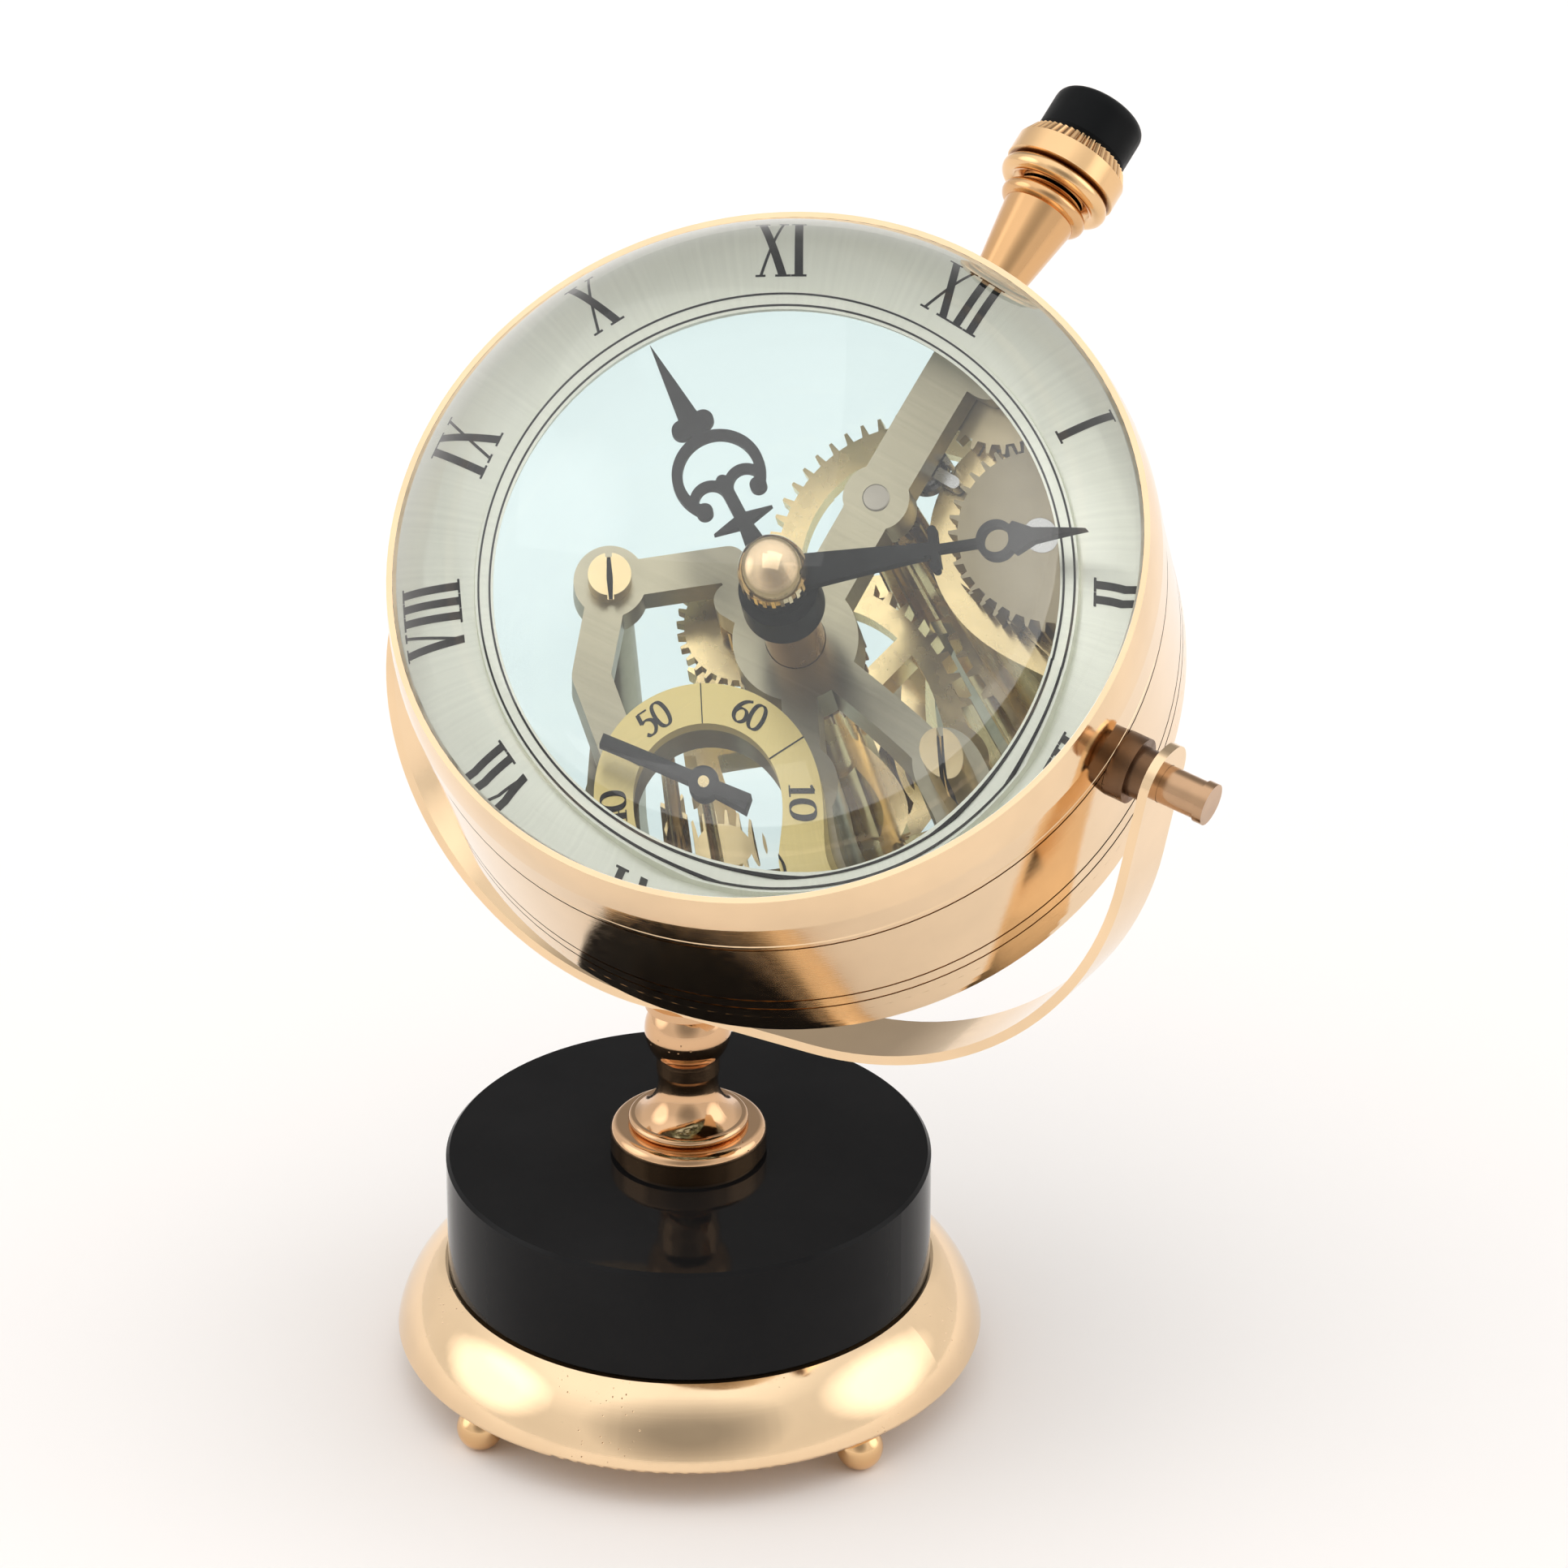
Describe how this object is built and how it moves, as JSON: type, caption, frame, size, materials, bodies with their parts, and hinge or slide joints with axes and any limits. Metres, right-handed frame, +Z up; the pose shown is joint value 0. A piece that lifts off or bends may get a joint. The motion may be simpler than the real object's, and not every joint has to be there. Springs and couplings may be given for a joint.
{
  "type": "globe desk clock",
  "caption": "Globe desk clock: domed crystal over a skeleton movement in a brass drum, tilting in a bent brass yoke on a turned pedestal with a black plinth",
  "frame": {"origin": "on the surface the clock stands on, under the pedestal's axis", "axes": "+Z up; X along the yoke, towards the pin at III; the dial looks towards -Y and up"},
  "size_m": [0.0921, 0.0932, 0.1285],
  "materials": {
    "polished_brass": "polished",
    "black_gloss": "polished",
    "black_satin": "satin",
    "dark_bronze": "satin",
    "crystal": "polished",
    "silvered": "satin",
    "gilt": "satin",
    "satin_plate": "satin",
    "wheel_brass": "satin",
    "steel": "satin"
  },
  "bodies": {
    "stand": {"base_saucer": "polished_brass", "ball_feet": "polished_brass", "plinth_body": "black_gloss", "plinth_top": "black_gloss", "pedestal": "polished_brass", "tie_rod": "steel", "tie_washer": "steel", "tie_nut": "steel", "yoke": "polished_brass", "yoke_screw": "polished_brass"},
    "head": {"case_drum": "polished_brass", "front_bezel": "polished_brass", "rear_bezel": "polished_brass", "front_lens": "crystal", "rear_lens": "crystal", "pivot_pins": "polished_brass", "pivot_spacers": "dark_bronze", "dial_spacer": "silvered", "dial_carrier": "satin_plate", "chapter_ring": "silvered", "dial_rail": "silvered", "seconds_ring": "gilt", "front_plate": "satin_plate", "rear_plate": "satin_plate", "plate_pillars": "satin_plate", "plate_screws": "wheel_brass", "movement_posts": "satin_plate", "pallet_cock": "satin_plate", "balance_cock": "satin_plate", "seconds_cock": "satin_plate", "hairspring": "steel", "winding_screws": "steel", "click_spring": "steel", "pendant_tube": "polished_brass"},
    "centre_arbor": {"centre_wheel": "wheel_brass", "cannon_pinion": "wheel_brass", "minute_hand": "black_satin", "hand_cap": "polished_brass"},
    "hour_pipe": {"hour_wheel": "wheel_brass", "hour_hand": "black_satin"},
    "minute_wheel": {"minute_wheel": "wheel_brass"},
    "intermediate_arbor": {"intermediate_wheel": "wheel_brass"},
    "going_barrel": {"barrel": "wheel_brass", "barrel_cover": "wheel_brass", "mainspring": "steel"},
    "third_arbor": {"third_wheel": "wheel_brass"},
    "fourth_arbor": {"fourth_wheel": "wheel_brass", "seconds_hand": "black_satin"},
    "escape_arbor": {"escape_wheel": "wheel_brass"},
    "pallet_lever": {"pallet_fork": "steel"},
    "balance": {"balance_wheel": "wheel_brass"},
    "crown_slide": {"setting_sleeve": "steel"},
    "crown": {"winding_stem": "steel", "crown_collar": "polished_brass", "crown_knob": "black_satin"},
    "winding_pinion": {"winding_pinion": "steel"},
    "crown_wheel": {"crown_wheel": "steel"},
    "ratchet": {"ratchet_wheel": "steel", "barrel_arbor": "steel"},
    "click": {"click": "steel"}
  },
  "joints": [
    {"name": "head_tilt", "type": "hinge", "parent": "stand", "child": "head", "pos_m": [0.0114, 0, 0.0902], "axis": [0.9799, 0, -0.1994], "range_deg": [-110, 218]},
    {"name": "minute_turn", "type": "hinge", "parent": "head", "child": "centre_arbor", "pos_m": [0.0114, 0, 0.0902], "axis": [0.1613, -0.5878, 0.7928], "continuous": true},
    {"name": "hour_turn", "type": "hinge", "parent": "head", "child": "hour_pipe", "pos_m": [0.0114, 0, 0.0902], "axis": [0.1613, -0.5878, 0.7928], "continuous": true},
    {"name": "minute_wheel_turn", "type": "hinge", "parent": "head", "child": "minute_wheel", "pos_m": [0.00655, 0.00028, 0.0914], "axis": [0.1613, -0.5878, 0.7928], "continuous": true},
    {"name": "intermediate_turn", "type": "hinge", "parent": "head", "child": "intermediate_arbor", "pos_m": [0.01267, 0.00874, 0.09642], "axis": [0.1613, -0.5878, 0.7928], "continuous": true},
    {"name": "barrel_turn", "type": "hinge", "parent": "head", "child": "going_barrel", "pos_m": [0.02238, 0.01183, 0.09674], "axis": [0.1613, -0.5878, 0.7928], "continuous": true},
    {"name": "third_turn", "type": "hinge", "parent": "head", "child": "third_arbor", "pos_m": [0.01528, -0.00639, 0.08467], "axis": [0.1613, -0.5878, 0.7928], "continuous": true},
    {"name": "seconds_turn", "type": "hinge", "parent": "head", "child": "fourth_arbor", "pos_m": [0.00991, -0.01031, 0.08286], "axis": [0.1613, -0.5878, 0.7928], "continuous": true},
    {"name": "escape_turn", "type": "hinge", "parent": "head", "child": "escape_arbor", "pos_m": [0.00538, -0.00773, 0.0857], "axis": [0.1613, -0.5878, 0.7928], "continuous": true},
    {"name": "pallet_swing", "type": "hinge", "parent": "head", "child": "pallet_lever", "pos_m": [0.00256, -0.00962, 0.08486], "axis": [0.1613, -0.5878, 0.7928], "range_deg": [-4, 4]},
    {"name": "balance_swing", "type": "hinge", "parent": "head", "child": "balance", "pos_m": [-0.00133, -0.01206, 0.08385], "axis": [0.1613, -0.5878, 0.7928], "range_deg": [-200, 200]},
    {"name": "crown_pull", "type": "slide", "parent": "head", "child": "crown_slide", "axis": [0.1172, 0.809, 0.576], "range_m": [0, 0.0012]},
    {"name": "crown_turn", "type": "hinge", "parent": "crown_slide", "child": "crown", "pos_m": [0.01687, 0.04186, 0.1171], "axis": [0.1172, 0.809, 0.576], "continuous": true},
    {"name": "winding_pinion_turn", "type": "hinge", "parent": "head", "child": "winding_pinion", "pos_m": [0.01418, 0.02325, 0.10385], "axis": [0.1172, 0.809, 0.576], "continuous": true},
    {"name": "crown_wheel_turn", "type": "hinge", "parent": "head", "child": "crown_wheel", "pos_m": [0.01608, 0.01739, 0.10215], "axis": [0.1613, -0.5878, 0.7928], "continuous": true},
    {"name": "ratchet_turn", "type": "hinge", "parent": "head", "child": "ratchet", "pos_m": [0.02238, 0.01183, 0.09674], "axis": [0.1613, -0.5878, 0.7928], "continuous": true},
    {"name": "click_lift", "type": "hinge", "parent": "head", "child": "click", "pos_m": [0.0135, 0.01181, 0.09853], "axis": [0.1613, -0.5878, 0.7928], "range_deg": [0, 8], "stiffness_Nm_per_rad": 0.0005}
  ],
  "couplings": [
    {"joint": "hour_turn", "follows": "minute_turn", "ratio": 0.083333},
    {"joint": "minute_wheel_turn", "follows": "minute_turn", "ratio": -0.33333},
    {"joint": "intermediate_turn", "follows": "minute_turn", "ratio": -0.25},
    {"joint": "barrel_turn", "follows": "minute_turn", "ratio": 0.053571},
    {"joint": "third_turn", "follows": "minute_turn", "ratio": -8},
    {"joint": "seconds_turn", "follows": "minute_turn", "ratio": 60},
    {"joint": "escape_turn", "follows": "minute_turn", "ratio": -480},
    {"joint": "winding_pinion_turn", "follows": "crown_turn", "ratio": 1},
    {"joint": "crown_wheel_turn", "follows": "crown_turn", "ratio": 0.37037},
    {"joint": "ratchet_turn", "follows": "crown_turn", "ratio": -0.27778}
  ]
}
